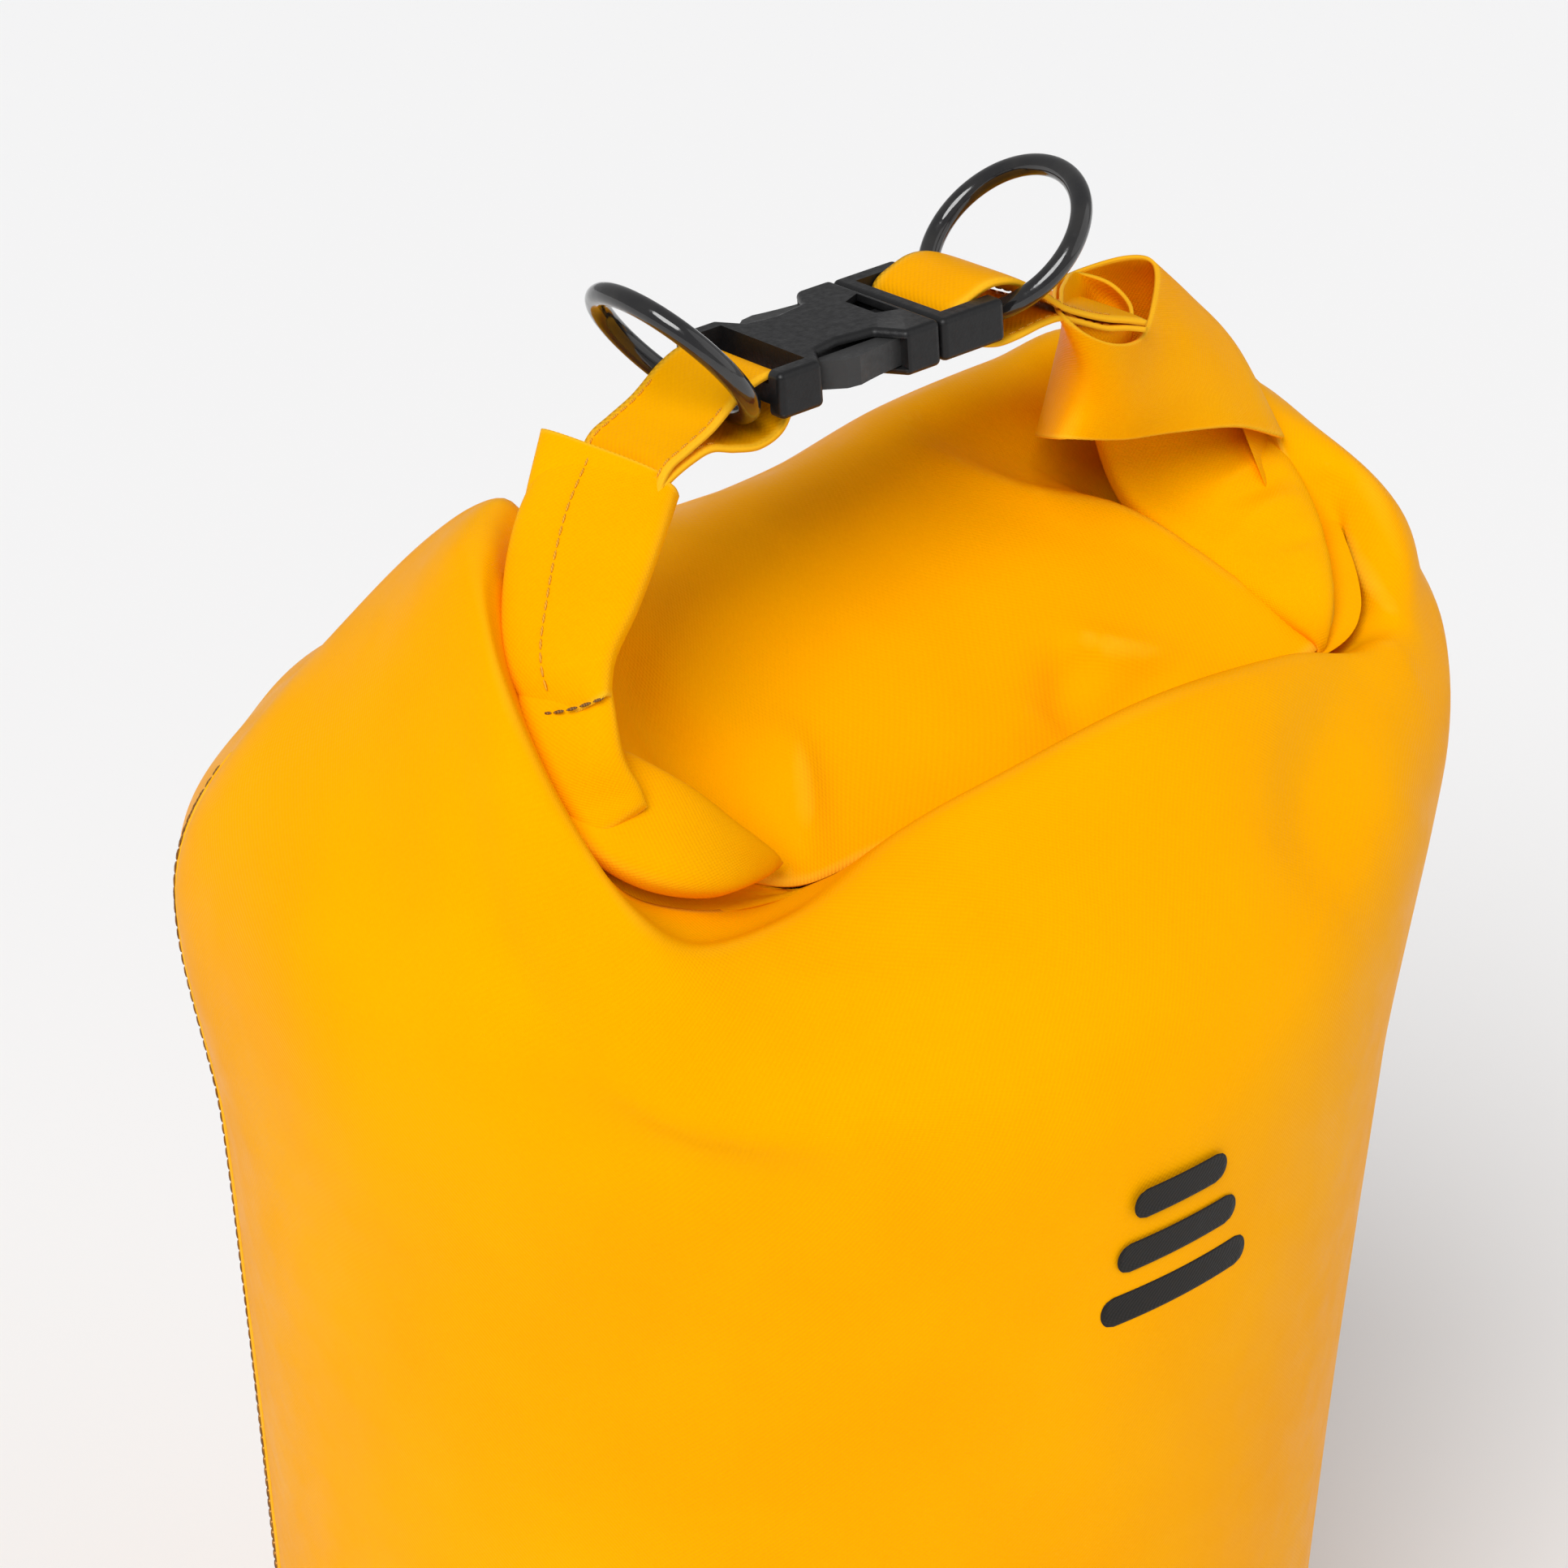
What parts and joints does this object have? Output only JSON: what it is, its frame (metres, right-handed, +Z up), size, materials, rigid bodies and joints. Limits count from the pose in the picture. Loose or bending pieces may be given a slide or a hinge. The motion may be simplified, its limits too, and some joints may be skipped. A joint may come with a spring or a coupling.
{
  "type": "roll-top dry bag",
  "caption": "Round-based waterproof roll-top bag, rolled shut with its ends joined by a side-release buckle, and round lashing rings in the strap loops.",
  "frame": {"origin": "centre of the base where the bag stands", "axes": "+Z up, +X along the roll toward the male half of the buckle, +Y to the back, away from the side the mouth is rolled to"},
  "size_m": [0.276, 0.245, 0.4903],
  "materials": {
    "shell": "coated woven fabric, satin",
    "collar": "coated woven fabric, satin",
    "tape": "smooth seam tape",
    "thread": "twisted thread",
    "stiffener": "matt",
    "webbing": "coated fabric strap with stitched edges",
    "ring": "glossy",
    "buckle": "fine moulded texture",
    "print": "screen print"
  },
  "bodies": {
    "bag": {"side_panel": "shell", "base_panel": "shell", "base_seam_tape": "tape", "side_seam_flap": "shell", "side_seam_thread": "thread", "collar_panel": "collar", "roll_centre": "collar", "mouth_stiffener_front": "stiffener", "mouth_stiffener_back": "stiffener", "roll_left_arm": "collar", "strap_left": "webbing", "buckle_female": "buckle", "printed_mark": "print"},
    "right_end": {"roll_right_arm": "collar", "strap_right": "webbing", "buckle_male": "buckle"},
    "prong_far": {"prong_far": "buckle"},
    "prong_near": {"prong_near": "buckle"},
    "ring_left": {"ring_left": "ring"},
    "ring_right": {"ring_right": "ring"}
  },
  "joints": [
    {"name": "buckle_release", "type": "slide", "parent": "bag", "child": "right_end", "axis": [0.9925, 0.1219, -0.0044], "range_m": [0, 0.02]},
    {"name": "prong_far_squeeze", "type": "hinge", "parent": "right_end", "child": "prong_far", "pos_m": [0.01643, 0.00381, 0.46395], "axis": [-0.0089, 0.1077, 0.9941], "range_deg": [0, 10]},
    {"name": "prong_near_squeeze", "type": "hinge", "parent": "right_end", "child": "prong_near", "pos_m": [0.01947, -0.02085, 0.46665], "axis": [0.0089, -0.1077, -0.9941], "range_deg": [0, 10]},
    {"name": "ring_left_swing", "type": "hinge", "parent": "bag", "child": "ring_left", "pos_m": [-0.02415, -0.0141, 0.46171], "axis": [-0.1216, 0.9867, -0.108], "range_deg": [0, 35]},
    {"name": "ring_right_swing", "type": "hinge", "parent": "right_end", "child": "ring_right", "pos_m": [0.03776, -0.00622, 0.46402], "axis": [0.1216, -0.9867, 0.108], "range_deg": [0, 45]}
  ],
  "couplings": [
    {"joint": "prong_far_squeeze", "follows": "buckle_release", "rad_per_m": 8.7},
    {"joint": "prong_near_squeeze", "follows": "buckle_release", "rad_per_m": 8.7}
  ]
}
